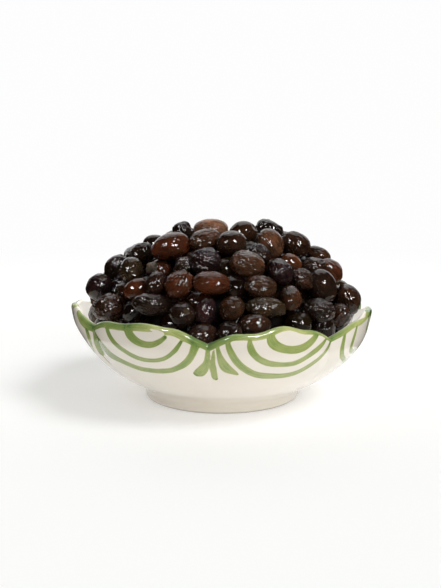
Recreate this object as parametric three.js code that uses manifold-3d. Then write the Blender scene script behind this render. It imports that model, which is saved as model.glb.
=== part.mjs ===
// Dish of olives: a hand-made earthenware serving bowl with a seven-lobed rim on a low foot ring,
// heaped with small dry-cured black olives.
// Millimetres, +Z up. The origin is on the table, under the middle of the bowl. -Y is the front.
// Every angle runs from the front towards +X, so a point is (r sin a, -r cos a, z).
import * as THREE from "three";
import { mergeVertices } from "three/addons/utils/BufferGeometryUtils.js";
import Module from "manifold-3d";

// ---- driving dimensions of the bowl
const LOBES = 7;
// The rim is cut by hand, so each lobe has its own numbers: the angle in degrees and the height of the
// notch at its start, the height of its shoulders in its middle and how much that rises along it, the
// height of its crown over the shoulders and where it lies, and the shares of half a lobe over which
// the rim climbs out of its first notch and down into its last. The first lobe is right of the front.
const LOBE_CUTS = [
  { start: -5.4, notch: 49.2, shoulder: 55.0, rise: -0.6, crown: 3.4, crownAt: 0.05, climb: 0.42, fall: 0.58 },
  { start: 46.0, notch: 46.9, shoulder: 53.2, rise: 0.0, crown: 2.6, crownAt: 0.0, climb: 0.55, fall: 0.45 },
  { start: 97.4, notch: 47.8, shoulder: 54.4, rise: 0.0, crown: 2.8, crownAt: 0.0, climb: 0.45, fall: 0.45 },
  { start: 148.9, notch: 48.8, shoulder: 55.4, rise: 0.0, crown: 2.6, crownAt: 0.0, climb: 0.45, fall: 0.45 },
  { start: 200.3, notch: 49.8, shoulder: 55.6, rise: 0.0, crown: 2.9, crownAt: 0.0, climb: 0.45, fall: 0.45 },
  { start: 251.7, notch: 49.6, shoulder: 54.4, rise: 1.3, crown: 4.0, crownAt: 0.32, climb: 0.45, fall: 0.45 },
  { start: 300.5, notch: 50.6, shoulder: 57.2, rise: 0.9, crown: 1.6, crownAt: 0.14, climb: 0.55, fall: 0.5 },
];
const CROWN_RUN = 0.42; // share of half a lobe that the crown takes on each side

// The wall is a quarter of an ellipse outside and another inside, both level with the lobes' tops.
const WALL_TOP = 58.3;
const WALL_CENTRE_RADIUS = 11.2;
const OUTER_HALF_WIDTH = 76.6;
const OUTER_DEPTH = 57;
const INNER_HALF_WIDTH = 73.2;
const INNER_DEPTH = 51.3;
const LIP_RADIUS = 1.7;

// A shallow groove runs down the wall from each notch.
const FLUTE_DEPTH = 3.3;
const FLUTE_START = 0.4; // share of half a lobe, from its middle
const FLUTE_LOW = 14;
const FLUTE_HIGH = 46;

const FOOT_RADIUS = 43.2;
const FOOT_SIDE_RADIUS = 45;
const FOOT_INNER_RADIUS = 38.6;
const FOOT_EDGE = 2.4; // height of the foot's rounded lower edge
const FOOT_HEIGHT = 3.6;
const FILLET_TOP = 11.5; // where the fillet over the foot meets the wall's ellipse
const RECESS = 2.5; // hollow under the base, inside the foot ring
// The belly sits a little to the right of the foot and the rim: it leans out over the first two heights
// and back over the last two.
const BELLY_SHIFT = 1.3;
const BELLY_HEIGHTS = [2, 10, 34, 48];

// ---- driving dimensions of the heap
const HEAP_BASE = 50; // where the heap starts to draw in, just under the rim
const HEAP_TOP = 104.5;
const HEAP_RADIUS = 80.5;
const HEAP_BULGE = 1.5; // exponent of the heap's profile: 1 is a paraboloid, 2 a half ellipsoid
const OLIVE_LENGTH = 20;
const OLIVE_WIDTH = 16.5;
const OLIVE_COUNT = 78;
const OLIVE_SIZE_SPREAD = 0.16;
// An olive lies square to a line that leans out by its radius for this much height, plus this much more
// for each millimetre over the heap's base.
const LEAN_START = 20;
const LEAN_RATE = 1.6;
const CORE_DEPTH = 6.5; // how far the core stays under the heap's outline, as gaps between olives
const CLEARANCE = 1; // between the heap and the bowl

// ---- fineness
const STEPS_PER_LOBE = 8;
const OUTER_ROWS = 7;
const ROW_CROWDING = 1.4; // exponent that crowds the outer rows towards the foot
const INNER_ROWS = 5;
const LIP_ROWS = 4;
const FOOT_ROWS = 2;
const CORE_ROWS = 5;
const PROFILE_STEPS = 400;
const OLIVE_STEPS = 8;
const OLIVE_ROWS = 5;
const FACET_TOLERANCE = 1; // flat spots of the heap smaller than this are joined

const TURN = 2 * Math.PI;
const STEPS = LOBES * STEPS_PER_LOBE;
const GOLDEN_ANGLE = Math.PI * (3 - Math.sqrt(5));

const wasm = await Module();
wasm.setup();

// ---- the bowl's shape as functions of the angle and the height

// The angle of a place along the rim, counted in lobes from the first notch.
function angleAt(along) {
  const index = Math.floor(along);
  const start = LOBE_CUTS[index % LOBES].start;
  const end = index % LOBES === LOBES - 1 ? LOBE_CUTS[0].start + 360 : LOBE_CUTS[(index + 1) % LOBES].start;
  return THREE.MathUtils.degToRad(start + (end - start) * (along - index));
}

// The lobe that an angle falls in, and how far along it: -1 at its first notch, 1 at its last.
function lobeAt(angle) {
  const first = LOBE_CUTS[0].start;
  const degrees = first + THREE.MathUtils.euclideanModulo(THREE.MathUtils.radToDeg(angle) - first, 360);
  const index = LOBE_CUTS.findLastIndex((cut) => cut.start <= degrees);
  const end = index === LOBES - 1 ? first + 360 : LOBE_CUTS[index + 1].start;
  const { start } = LOBE_CUTS[index];
  return { index, u: (2 * (degrees - start)) / (end - start) - 1 };
}

// The climb out of a notch: rounded at the bottom, and level at the shoulder.
function notchRise(share) {
  const t = THREE.MathUtils.clamp(share, 0, 1);
  const arch = 1 - (1 - t) ** 2;
  return (arch + THREE.MathUtils.smoothstep(t, 0, 1)) / 2;
}

function rimHeight(angle) {
  const { index, u } = lobeAt(angle);
  const cut = LOBE_CUTS[index];
  const notch = u < 0 ? cut.notch : LOBE_CUTS[(index + 1) % LOBES].notch;
  const climb = notchRise((1 - Math.abs(u)) / (u < 0 ? cut.climb : cut.fall));
  const off = Math.abs(u - cut.crownAt);
  const crown = off < CROWN_RUN ? (1 + Math.cos((Math.PI * off) / CROWN_RUN)) / 2 : 0;
  return notch + (cut.shoulder + cut.rise * u - notch) * climb + cut.crown * crown;
}

function fluteDepth(angle, height) {
  const across = Math.max(0, (Math.abs(lobeAt(angle).u) - FLUTE_START) / (1 - FLUTE_START));
  return FLUTE_DEPTH * across ** 2 * THREE.MathUtils.smoothstep(height, FLUTE_LOW, FLUTE_HIGH);
}

// The radius of an ellipse of that depth, at a height below the wall's top.
function ellipseRadius(halfWidth, depth, height) {
  const drop = THREE.MathUtils.clamp((WALL_TOP - height) / depth, 0, 1);
  return WALL_CENTRE_RADIUS + halfWidth * Math.sqrt(1 - drop ** 2);
}

function outerRadius(angle, height) {
  return ellipseRadius(OUTER_HALF_WIDTH, OUTER_DEPTH, height) - fluteDepth(angle, height);
}

function bellyShift(height) {
  const [from, full, ease, to] = BELLY_HEIGHTS;
  const { smoothstep } = THREE.MathUtils;
  return BELLY_SHIFT * smoothstep(height, from, full) * (1 - smoothstep(height, ease, to));
}

// ---- rows of the bowl's section: each gives a radius and a height for an angle

function underRows() {
  return [
    () => [0, RECESS],
    () => [FOOT_INNER_RADIUS - RECESS, RECESS],
    () => [FOOT_INNER_RADIUS, 0],
    () => [FOOT_RADIUS, 0],
  ];
}

function footRows() {
  const rows = [];
  for (let i = 1; i <= FOOT_ROWS; i++) {
    const turn = (i / FOOT_ROWS) * (Math.PI / 2);
    const radius = FOOT_RADIUS + (FOOT_SIDE_RADIUS - FOOT_RADIUS) * Math.sin(turn);
    rows.push(() => [radius, FOOT_EDGE * (1 - Math.cos(turn))]);
  }
  rows.push(() => [FOOT_SIDE_RADIUS, FOOT_HEIGHT]);
  // The fillet leaves the foot's side upright and meets the wall's ellipse along its slope.
  const width = outerRadius(0, FILLET_TOP) - FOOT_SIDE_RADIUS;
  const height = FILLET_TOP - FOOT_HEIGHT;
  const drop = (WALL_TOP - FILLET_TOP) / OUTER_DEPTH;
  const slope = (OUTER_HALF_WIDTH * drop * height) / (OUTER_DEPTH * Math.sqrt(1 - drop ** 2));
  for (let i = 1; i < FOOT_ROWS; i++) {
    const t = i / FOOT_ROWS;
    const radius = FOOT_SIDE_RADIUS + width * t ** 2 * (3 - 2 * t) - slope * t ** 2 * (1 - t);
    rows.push(() => [radius, FOOT_HEIGHT + height * t]);
  }
  return rows;
}

function outerWallRows() {
  const rows = [];
  for (let i = 0; i <= OUTER_ROWS; i++) {
    // The rows lie closer together low down, where the wall turns most.
    const share = (i / OUTER_ROWS) ** ROW_CROWDING;
    rows.push((angle) => {
      const height = THREE.MathUtils.lerp(FILLET_TOP, rimHeight(angle) - LIP_RADIUS, share);
      return [outerRadius(angle, height), height];
    });
  }
  return rows;
}

function lipRows() {
  const rows = [];
  for (let i = 1; i <= LIP_ROWS; i++) {
    const turn = (i / LIP_ROWS) * Math.PI;
    rows.push((angle) => {
      const low = rimHeight(angle) - LIP_RADIUS;
      const middle = outerRadius(angle, low) - LIP_RADIUS;
      return [middle + LIP_RADIUS * Math.cos(turn), low + LIP_RADIUS * Math.sin(turn)];
    });
  }
  return rows;
}

// The inner wall from the lip down to the middle of the bowl's floor, drawn in by a clearance
// for what lies in the bowl.
function innerWallRow(share, clearance) {
  return (angle) => {
    const top = rimHeight(angle) - LIP_RADIUS;
    const reach = Math.acos(Math.min(1, (WALL_TOP - top) / INNER_DEPTH));
    const turn = reach * (1 - share);
    const height = WALL_TOP - INNER_DEPTH * Math.cos(turn);
    const radius = WALL_CENTRE_RADIUS + INNER_HALF_WIDTH * Math.sin(turn) - fluteDepth(angle, height);
    const slope = Math.sin(turn);
    return [radius - clearance * slope, height + clearance * (1 - slope)];
  };
}

function innerWallRows(clearance, firstRow) {
  const rows = [];
  for (let i = firstRow; i <= INNER_ROWS; i++) {
    rows.push(innerWallRow(i / INNER_ROWS, clearance));
  }
  rows.push(() => [0, WALL_TOP - INNER_DEPTH + clearance]);
  return rows;
}

// ---- geometry helpers

// A lathed body whose rows may change with the angle, and whose section starts and ends on the axis.
function shapedLathe(rows, steps) {
  const section = rows.map((row) => {
    const [radius, height] = row(0);
    return new THREE.Vector2(radius, height);
  });
  const geometry = new THREE.LatheGeometry(section, steps);
  const position = geometry.getAttribute("position");
  for (let step = 0; step <= steps; step++) {
    const angle = angleAt((LOBES * (step % steps)) / steps);
    rows.forEach((row, i) => {
      const [radius, height] = row(angle);
      const x = radius * Math.sin(angle) + bellyShift(height);
      const y = -radius * Math.cos(angle);
      position.setXYZ(step * rows.length + i, x, y, height);
    });
  }
  return geometry;
}

function toSolid(geometry) {
  const bare = new THREE.BufferGeometry();
  bare.setAttribute("position", geometry.getAttribute("position"));
  bare.setIndex(geometry.getIndex());
  const merged = mergeVertices(bare, 1e-4);
  const mesh = new wasm.Mesh({
    numProp: 3,
    vertProperties: new Float32Array(merged.getAttribute("position").array),
    triVerts: new Uint32Array(merged.getIndex().array),
  });
  return new wasm.Manifold(mesh);
}

function toGeometry(solid) {
  const mesh = solid.getMesh();
  const geometry = new THREE.BufferGeometry();
  geometry.setAttribute("position", new THREE.BufferAttribute(mesh.vertProperties, 3));
  geometry.setIndex(new THREE.BufferAttribute(mesh.triVerts, 1));
  geometry.computeVertexNormals();
  return geometry;
}

// The solid inside a solid's largest skin, without the sealed gaps that a union of many bodies leaves.
function outerSkin(solid) {
  return solid.decompose().reduce((a, b) => (a.volume() > b.volume() ? a : b));
}

// A repeatable number from 0 to 1 for the nth olive, in one of several independent rows of numbers.
function chance(n, row) {
  const s = Math.sin(n * 12.9898 + row * 78.233) * 43758.5453;
  return s - Math.floor(s);
}

// ---- the bowl

function makeBowl() {
  const rows = [...underRows(), ...footRows(), ...outerWallRows(), ...lipRows(), ...innerWallRows(0, 1)];
  const material = new THREE.MeshStandardMaterial({
    name: "white_glaze",
    color: 0xebe5db,
    roughness: 0.12,
    metalness: 0,
  });
  const bowl = new THREE.Mesh(shapedLathe(rows, STEPS), material);
  bowl.name = "bowl";
  return bowl;
}

// ---- the olives

// The heap's outline above the rim: its radius at a share of its height.
function heapRadius(share) {
  return HEAP_RADIUS * Math.sqrt(Math.max(0, 1 - share ** HEAP_BULGE));
}

// The shares of the heap's height, from its top down, that part its surface into equal areas.
function evenShares(count) {
  const areaAbove = [0];
  for (let i = 1; i <= PROFILE_STEPS; i++) {
    const [high, low] = [1 - (i - 1) / PROFILE_STEPS, 1 - i / PROFILE_STEPS];
    const width = heapRadius(low) - heapRadius(high);
    const length = Math.hypot(width, (HEAP_TOP - HEAP_BASE) / PROFILE_STEPS);
    areaAbove.push(areaAbove[i - 1] + length * (heapRadius(low) + heapRadius(high)));
  }
  const shares = [];
  for (let n = 0; n < count; n++) {
    const area = (areaAbove[PROFILE_STEPS] * (n + 0.5)) / count;
    shares.push(1 - areaAbove.findIndex((above) => above >= area) / PROFILE_STEPS);
  }
  return shares;
}

// The heap under its outer olives: it fills the bowl, and rises to a smooth dome.
function heapCore() {
  const domeHeight = HEAP_TOP - HEAP_BASE - CORE_DEPTH;
  const domeShare = 1 - CORE_DEPTH / HEAP_RADIUS;
  const rows = [() => [0, HEAP_BASE + domeHeight]];
  for (let i = CORE_ROWS - 1; i >= 0; i--) {
    const share = i / CORE_ROWS;
    rows.push(() => [heapRadius(share) * domeShare, HEAP_BASE + domeHeight * share]);
  }
  const filling = innerWallRows(CLEARANCE, 1);
  return toSolid(shapedLathe([...rows, ...filling].reverse(), STEPS / 2));
}

// One olive: an ellipsoid just under the heap's outline, lying along its slope and turned on it.
function olive(n, share) {
  const size = 1 + OLIVE_SIZE_SPREAD * (2 * chance(n, 1) - 1);
  const around = n * GOLDEN_ANGLE;
  const depth = (OLIVE_WIDTH / 2) * size;
  const wall = innerWallRow(0, CLEARANCE)(around)[0];
  const radius = Math.min(heapRadius(share) * (1 - depth / HEAP_RADIUS), wall - depth);
  const height = HEAP_BASE + (HEAP_TOP - HEAP_BASE - depth) * share;
  const middle = new THREE.Vector3(radius * Math.sin(around), -radius * Math.cos(around), height);
  const lean = LEAN_START + LEAN_RATE * (height - HEAP_BASE);
  const normal = new THREE.Vector3(middle.x, middle.y, lean).normalize();
  const turn = new THREE.Quaternion().setFromUnitVectors(new THREE.Vector3(0, 0, 1), normal);
  turn.multiply(new THREE.Quaternion().setFromAxisAngle(new THREE.Vector3(0, 0, 1), TURN * chance(n, 2)));
  const halves = new THREE.Vector3(OLIVE_WIDTH / 2, OLIVE_LENGTH / 2, OLIVE_WIDTH / 2).multiplyScalar(size);
  const ball = new THREE.SphereGeometry(1, OLIVE_STEPS, OLIVE_ROWS);
  return toSolid(ball.applyMatrix4(new THREE.Matrix4().compose(middle, turn, halves)));
}

function makeOlives() {
  const loose = evenShares(OLIVE_COUNT).map((share, n) => olive(n, share));
  const heap = outerSkin(heapCore().add(wasm.Manifold.union(loose)).simplify(FACET_TOLERANCE));
  const material = new THREE.MeshStandardMaterial({
    name: "black_olive",
    color: 0x2a1712,
    roughness: 0.3,
    metalness: 0,
  });
  const olives = new THREE.Mesh(toGeometry(heap), material);
  olives.name = "olives";
  return olives;
}

const dish = new THREE.Group();
dish.add(makeBowl(), makeOlives());

export default dish;
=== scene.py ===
"""Dish of olives: a scalloped, hand-painted earthenware bowl heaped with small dry-cured black olives."""
import math

import bmesh
import bpy
import numpy as np
from mathutils import Matrix, Vector, noise


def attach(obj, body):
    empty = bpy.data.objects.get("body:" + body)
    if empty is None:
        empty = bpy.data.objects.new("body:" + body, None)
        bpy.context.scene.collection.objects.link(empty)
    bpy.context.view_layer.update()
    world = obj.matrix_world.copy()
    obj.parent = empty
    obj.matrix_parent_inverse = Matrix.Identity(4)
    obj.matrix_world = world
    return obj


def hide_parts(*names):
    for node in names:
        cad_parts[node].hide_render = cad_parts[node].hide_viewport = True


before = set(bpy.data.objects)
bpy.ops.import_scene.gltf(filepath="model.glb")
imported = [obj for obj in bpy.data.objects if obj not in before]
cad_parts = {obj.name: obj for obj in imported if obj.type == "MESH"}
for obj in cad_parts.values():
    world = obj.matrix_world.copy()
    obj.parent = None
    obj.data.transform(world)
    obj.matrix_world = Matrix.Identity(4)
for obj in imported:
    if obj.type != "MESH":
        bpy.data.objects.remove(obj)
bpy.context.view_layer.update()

MM = 0.001
TURN = 2 * math.pi

# ----------------------------------------
# The bowl's shape, in millimetres. An angle runs from the front (-Y) towards +X.

LOBES = 7
# Each lobe is cut one by one: the angle in degrees and the height of the notch at its start, the height of
# its shoulders and how much that rises along it, the height of its crown over the shoulders and where it
# lies, and the shares of half a lobe over which the rim climbs out of its first notch and falls into its
# last.
LOBE_CUTS = [
    (-5.4, 49.2, 55.0, -0.6, 3.4, 0.05, 0.42, 0.58),  # right of the front
    (46.0, 46.9, 53.2, 0.0, 2.6, 0.0, 0.55, 0.45),
    (97.4, 47.8, 54.4, 0.0, 2.8, 0.0, 0.45, 0.45),
    (148.9, 48.8, 55.4, 0.0, 2.6, 0.0, 0.45, 0.45),
    (200.3, 49.8, 55.6, 0.0, 2.9, 0.0, 0.45, 0.45),
    (251.7, 49.6, 54.4, 1.3, 4.0, 0.32, 0.45, 0.45),
    (300.5, 50.6, 57.2, 0.9, 1.6, 0.14, 0.55, 0.50),  # left of the front
]
LOBE_STARTS = [cut[0] for cut in LOBE_CUTS] + [LOBE_CUTS[0][0] + 360]
CROWN_RUN = 0.42  # share of half a lobe that the crown takes on each side

WALL_TOP = 58.3
WALL_CENTRE_RADIUS = 11.2
OUTER_HALF_WIDTH = 76.4
OUTER_DEPTH = 57.0
INNER_HALF_WIDTH = 73.2
INNER_DEPTH = 51.3
LIP_RADIUS = 1.7
FLUTE_DEPTH = 3.3
FLUTE_START = 0.4
FLUTE_LOW = 14.0
FLUTE_HIGH = 46.0

FOOT_RADIUS = 43.2
FOOT_SIDE_RADIUS = 45.0
FOOT_INNER_RADIUS = 38.6
FOOT_BEVEL = 0.5
FOOT_EASED = (0.3, 0.4)  # how far in from its sides the flat starts that it stands on
FOOT_EDGE = 2.4
FOOT_HEIGHT = 3.6
FILLET_TOP = 11.5  # where the fillet over the foot meets the wall's ellipse
RECESS = 2.5
# The belly sits a little to the right of the foot and the rim: it leans out over the first two heights
# and back over the last two.
BELLY_SHIFT = 1.3
BELLY_HEIGHTS = (2, 10, 34, 48)

STEPS_PER_LOBE = 88
STEPS = LOBES * STEPS_PER_LOBE
FOOT_ROWS = 8
WALL_ROWS = 98
LIP_ROWS = 10
INSIDE_ROWS = 22
INSIDE_START = 2  # millimetres past the crest of the lip


def smooth(t):
    t = min(1.0, max(0.0, t))
    return t * t * (3 - 2 * t)


def angle_at(along):
    """The angle of a place along the rim, counted in lobes from the first notch. It may be an array."""
    along = np.asarray(along, float)
    wrapped = along % LOBES
    turns = np.floor(along / LOBES)
    return np.radians(np.interp(wrapped, range(LOBES + 1), LOBE_STARTS)) + turns * TURN


def lobe_at(angle):
    """The lobe that an angle falls in, and how far along it: -1 at its first notch, 1 at its last."""
    degrees = LOBE_STARTS[0] + (math.degrees(angle) - LOBE_STARTS[0]) % 360
    index = max(i for i in range(LOBES) if LOBE_STARTS[i] <= degrees)
    start, end = LOBE_STARTS[index], LOBE_STARTS[index + 1]
    return index, 2 * (degrees - start) / (end - start) - 1


def rim_height(angle):
    index, u = lobe_at(angle)
    _, own_notch, shoulder, rise, crown, crown_at, climb, fall = LOBE_CUTS[index]
    notch = own_notch if u < 0 else LOBE_CUTS[(index + 1) % LOBES][1]
    t = min(1.0, (1 - abs(u)) / (climb if u < 0 else fall))
    share = (1 - (1 - t) ** 2 + smooth(t)) / 2
    off = abs(u - crown_at)
    lift = (1 + math.cos(math.pi * off / CROWN_RUN)) / 2 if off < CROWN_RUN else 0.0
    return notch + (shoulder + rise * u - notch) * share + crown * lift


def flute_depth(angle, height):
    across = max(0.0, (abs(lobe_at(angle)[1]) - FLUTE_START) / (1 - FLUTE_START))
    return FLUTE_DEPTH * across ** 2 * smooth((height - FLUTE_LOW) / (FLUTE_HIGH - FLUTE_LOW))


def outer_radius(angle, height):
    drop = min(1.0, max(0.0, (WALL_TOP - height) / OUTER_DEPTH))
    return WALL_CENTRE_RADIUS + OUTER_HALF_WIDTH * math.sqrt(1 - drop ** 2) - flute_depth(angle, height)


def inner_radius(angle, height):
    drop = min(1.0, max(0.0, (WALL_TOP - height) / INNER_DEPTH))
    return WALL_CENTRE_RADIUS + INNER_HALF_WIDTH * math.sqrt(1 - drop ** 2) - flute_depth(angle, height)


def belly_shift(height):
    low, full, ease, high = BELLY_HEIGHTS
    leaning_out = smooth((height - low) / (full - low))
    leaning_back = smooth((height - ease) / (high - ease))
    return BELLY_SHIFT * leaning_out * (1 - leaning_back)


def fillet_radius(t):
    """The fillet leaves the foot's side upright and meets the wall's ellipse along its slope."""
    width = outer_radius(0, FILLET_TOP) - FOOT_SIDE_RADIUS
    drop = (WALL_TOP - FILLET_TOP) / OUTER_DEPTH
    slope = OUTER_HALF_WIDTH * drop / math.sqrt(1 - drop ** 2) * (FILLET_TOP - FOOT_HEIGHT) / OUTER_DEPTH
    return FOOT_SIDE_RADIUS + width * smooth(t) - slope * t ** 2 * (1 - t)


def bowl_section():
    """Rows of the bowl's section, from the middle of its underside over the lip to its floor inside.
    Each row gives a radius and a height for an angle."""
    rows = [
        lambda a: (0.0, RECESS),
        lambda a: (0.5 * FOOT_INNER_RADIUS, RECESS),
        lambda a: (FOOT_INNER_RADIUS - RECESS, RECESS),
        lambda a: (FOOT_INNER_RADIUS - FOOT_BEVEL, FOOT_BEVEL),
        lambda a: (FOOT_INNER_RADIUS + FOOT_EASED[0], 0.0),
        lambda a: (FOOT_RADIUS - FOOT_EASED[1], 0.0),
    ]
    for i in range(FOOT_ROWS + 1):
        turn = math.pi / 2 * i / FOOT_ROWS
        rows.append(lambda a, turn=turn: (
            FOOT_RADIUS + (FOOT_SIDE_RADIUS - FOOT_RADIUS) * math.sin(turn),
            FOOT_EDGE * (1 - math.cos(turn)),
        ))
    for i in range(FOOT_ROWS):
        rows.append(lambda a, t=i / FOOT_ROWS: (
            fillet_radius(t),
            FOOT_HEIGHT + (FILLET_TOP - FOOT_HEIGHT) * t,
        ))
    first_wall_row = len(rows)

    def wall(a, t):
        # The rows lie at even steps of the ellipse's turn, so that none of them is long.
        low = math.acos((WALL_TOP - FILLET_TOP) / OUTER_DEPTH)
        high = math.acos(max(0.0, (WALL_TOP - rim_height(a) + LIP_RADIUS) / OUTER_DEPTH))
        height = WALL_TOP - OUTER_DEPTH * math.cos(low + (high - low) * t)
        return outer_radius(a, height), height

    def lip(a, turn):
        low = rim_height(a) - LIP_RADIUS
        middle = outer_radius(a, low) - LIP_RADIUS
        return middle + LIP_RADIUS * math.cos(turn), low + LIP_RADIUS * math.sin(turn)

    def inside(a, t):
        low = rim_height(a) - LIP_RADIUS
        turn = math.acos(min(1.0, (WALL_TOP - low) / INNER_DEPTH)) * (1 - t)
        height = WALL_TOP - INNER_DEPTH * math.cos(turn)
        return WALL_CENTRE_RADIUS + INNER_HALF_WIDTH * math.sin(turn) - flute_depth(a, height), height

    rows += [lambda a, t=i / WALL_ROWS: wall(a, t) for i in range(WALL_ROWS + 1)]
    rows += [lambda a, t=math.pi * i / LIP_ROWS: lip(a, t) for i in range(1, LIP_ROWS + 1)]
    rows += [lambda a, t=i / INSIDE_ROWS: inside(a, t) for i in range(1, INSIDE_ROWS + 1)]
    rows.append(lambda a: (0.0, WALL_TOP - INNER_DEPTH))
    return rows, first_wall_row


def spin_round(bm, section, steps):
    """Joins a section's vertices into a line and turns it once round the upright axis."""
    edges = [bm.edges.new(pair) for pair in zip(section, section[1:])]
    turned = {"cent": (0, 0, 0), "axis": (0, 0, 1), "angle": TURN, "steps": steps}
    bmesh.ops.spin(bm, geom=section + edges, use_merge=True, **turned)


def piece_from(bm, name, merge=0.0):
    """A smooth piece made of a bmesh, with vertices that lie closer than merge joined."""
    if merge:
        bmesh.ops.remove_doubles(bm, verts=bm.verts[:], dist=merge)
    bmesh.ops.recalc_face_normals(bm, faces=bm.faces[:])
    mesh = bpy.data.meshes.new(name)
    bm.to_mesh(mesh)
    bm.free()
    mesh.shade_smooth()
    piece = bpy.data.objects.new(name, mesh)
    bpy.context.scene.collection.objects.link(piece)
    return piece


# ----------------------------------------
# The painting. Each stroke is a list of (across the lobe, millimetres below the rim, width of the brush
# mark). Across runs from -1 at the lobe's first notch to 1 at its last, and may reach past either.

FRONT_RIGHT_SWAGS = [
    [(-0.14, 2.0, 3.2), (-0.12, 6.0, 4.0), (-0.05, 9.7, 4.0), (0.05, 12.2, 4.1), (0.18, 12.9, 4.0),
     (0.32, 11.1, 3.9), (0.45, 8.1, 3.8), (0.54, 4.7, 3.1), (0.59, 1.8, 2.3)],
    [(-0.42, 1.8, 0.6), (-0.42, 5.0, 2.0), (-0.40, 8.2, 3.2), (-0.34, 12.2, 2.9), (-0.23, 16.3, 2.4),
     (-0.07, 21.0, 2.5), (0.10, 23.1, 2.6), (0.27, 21.6, 2.4), (0.41, 17.7, 2.5), (0.54, 14.1, 2.6),
     (0.68, 9.2, 2.4), (0.77, 5.0, 1.7), (0.82, 2.0, 0.8)],
    [(-0.72, 2.0, 1.8), (-0.71, 5.2, 2.0), (-0.67, 10.0, 2.6), (-0.59, 16.0, 3.0), (-0.48, 20.8, 3.5),
     (-0.33, 24.9, 3.5), (-0.20, 27.4, 3.4), (-0.05, 30.5, 3.5), (0.08, 32.0, 3.5), (0.20, 31.4, 3.1),
     (0.32, 29.3, 2.8), (0.42, 27.1, 2.8), (0.52, 24.6, 2.7), (0.67, 19.2, 2.1), (0.83, 11.9, 1.5),
     (0.94, 6.0, 1.6), (0.97, 2.2, 1.6)],
]
FRONT_LEFT_SWAGS = [
    [(-0.11, 1.5, 4.4), (-0.09, 4.1, 4.2), (-0.06, 6.4, 4.6), (0.00, 8.9, 4.2), (0.08, 10.8, 3.7),
     (0.18, 11.5, 3.3), (0.27, 10.7, 2.5), (0.34, 9.1, 2.1), (0.41, 6.9, 1.6), (0.46, 4.8, 1.2)],
    [(-0.49, 1.5, 1.9), (-0.46, 6.5, 2.8), (-0.40, 10.6, 3.0), (-0.33, 13.4, 3.0), (-0.24, 15.6, 2.8),
     (-0.11, 18.9, 2.5), (0.04, 21.4, 2.2), (0.19, 21.8, 1.9), (0.34, 19.9, 1.6), (0.46, 16.7, 1.5),
     (0.55, 13.2, 1.5), (0.62, 9.2, 1.3), (0.67, 5.0, 0.6)],
    [(-0.93, 2.5, 3.6), (-0.90, 6.7, 5.0), (-0.81, 12.0, 6.2), (-0.73, 16.2, 6.6), (-0.65, 20.0, 5.6),
     (-0.54, 22.5, 4.2), (-0.38, 24.7, 3.6), (-0.20, 26.7, 3.2), (-0.01, 29.2, 3.0), (0.21, 29.8, 3.0),
     (0.39, 27.5, 2.8), (0.54, 24.9, 2.5), (0.67, 20.4, 2.5), (0.76, 14.2, 2.4), (0.81, 8.8, 2.5),
     (0.84, 4.4, 3.0), (0.86, 1.8, 3.0)],
]
RIGHT_SIDE_SWAGS = [
    [(0.02, 2.0, 1.8), (0.03, 7.0, 2.2), (0.07, 11.0, 2.6), (0.16, 13.5, 3.4), (0.28, 12.5, 3.6),
     (0.42, 9.0, 3.2), (0.55, 3.0, 2.2)],
    [(-0.50, 2.5, 1.2), (-0.50, 7.2, 2.2), (-0.51, 11.1, 2.4), (-0.50, 15.5, 2.0), (-0.42, 19.0, 2.2),
     (-0.2, 22.5, 2.4), (0.1, 23.0, 2.4), (0.4, 18.0, 2.4), (0.65, 9.0, 2.2), (0.8, 2.0, 1.0)],
    [(-0.77, 2.0, 1.2), (-0.76, 6.1, 1.8), (-0.75, 11.1, 2.1), (-0.70, 15.6, 2.0), (-0.62, 20.5, 1.7),
     (-0.4, 27.0, 2.2), (-0.1, 31.0, 2.6), (0.2, 30.5, 2.4), (0.5, 24.0, 2.0), (0.75, 14.0, 1.6),
     (0.93, 4.0, 1.5)],
]
LEFT_SIDE_SWAGS = [
    [(-0.24, 2.0, 3.4), (-0.20, 7.0, 4.0), (-0.08, 11.5, 4.0), (0.06, 12.5, 3.4), (0.2, 9.5, 2.4),
     (0.3, 4.0, 1.2)],
    [(-0.56, 2.0, 1.4), (-0.50, 8.0, 2.6), (-0.36, 15.0, 2.8), (-0.14, 20.5, 2.6), (0.06, 21.0, 2.2),
     (0.26, 15.5, 1.8), (0.38, 5.0, 1.0)],
    [(-0.74, 3.0, 2.4), (-0.72, 10.0, 3.2), (-0.6, 18.0, 3.2), (-0.4, 25.0, 2.8), (-0.1, 30.0, 2.4),
     (0.2, 31.5, 2.0), (0.54, 28.0, 1.3), (0.64, 23.4, 1.5), (0.72, 17.7, 1.8), (0.78, 13.3, 2.2),
     (0.82, 9.8, 2.3), (0.84, 5.0, 2.2)],
]
# Leaves hang under some notches, given from the notch: the lobe after it starts at -1.
FRONT_LEAVES = [
    [(-0.99, 2.5, 1.4), (-1.0, 7.6, 1.9), (-1.02, 12.5, 2.5), (-1.07, 17.5, 3.6), (-1.13, 21.6, 3.6),
     (-1.18, 24.0, 2.2)],
    [(-0.915, 5.0, 0.2), (-0.92, 8.4, 1.3), (-0.93, 12.5, 2.2), (-0.92, 16.9, 2.6), (-0.905, 21.6, 2.2),
     (-0.875, 24.4, 0.6)],
    [(-0.86, 3.0, 0.8), (-0.83, 9.2, 1.9), (-0.79, 14.1, 3.1), (-0.73, 18.6, 3.6), (-0.66, 21.8, 2.9),
     (-0.59, 24.2, 1.5), (-0.56, 25.2, 0.5)],
]
LEFT_LEAVES = [
    [(-0.97, 3.0, 1.8), (-0.985, 9.0, 4.2), (-1.03, 14.5, 5.6), (-1.08, 18.5, 4.2), (-1.13, 21.0, 1.2)],
    [(-1.10, 19.5, 0.5), (-1.05, 21.9, 0.8), (-1.01, 24.3, 0.8), (-0.93, 26.7, 0.3)],
]
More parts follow.
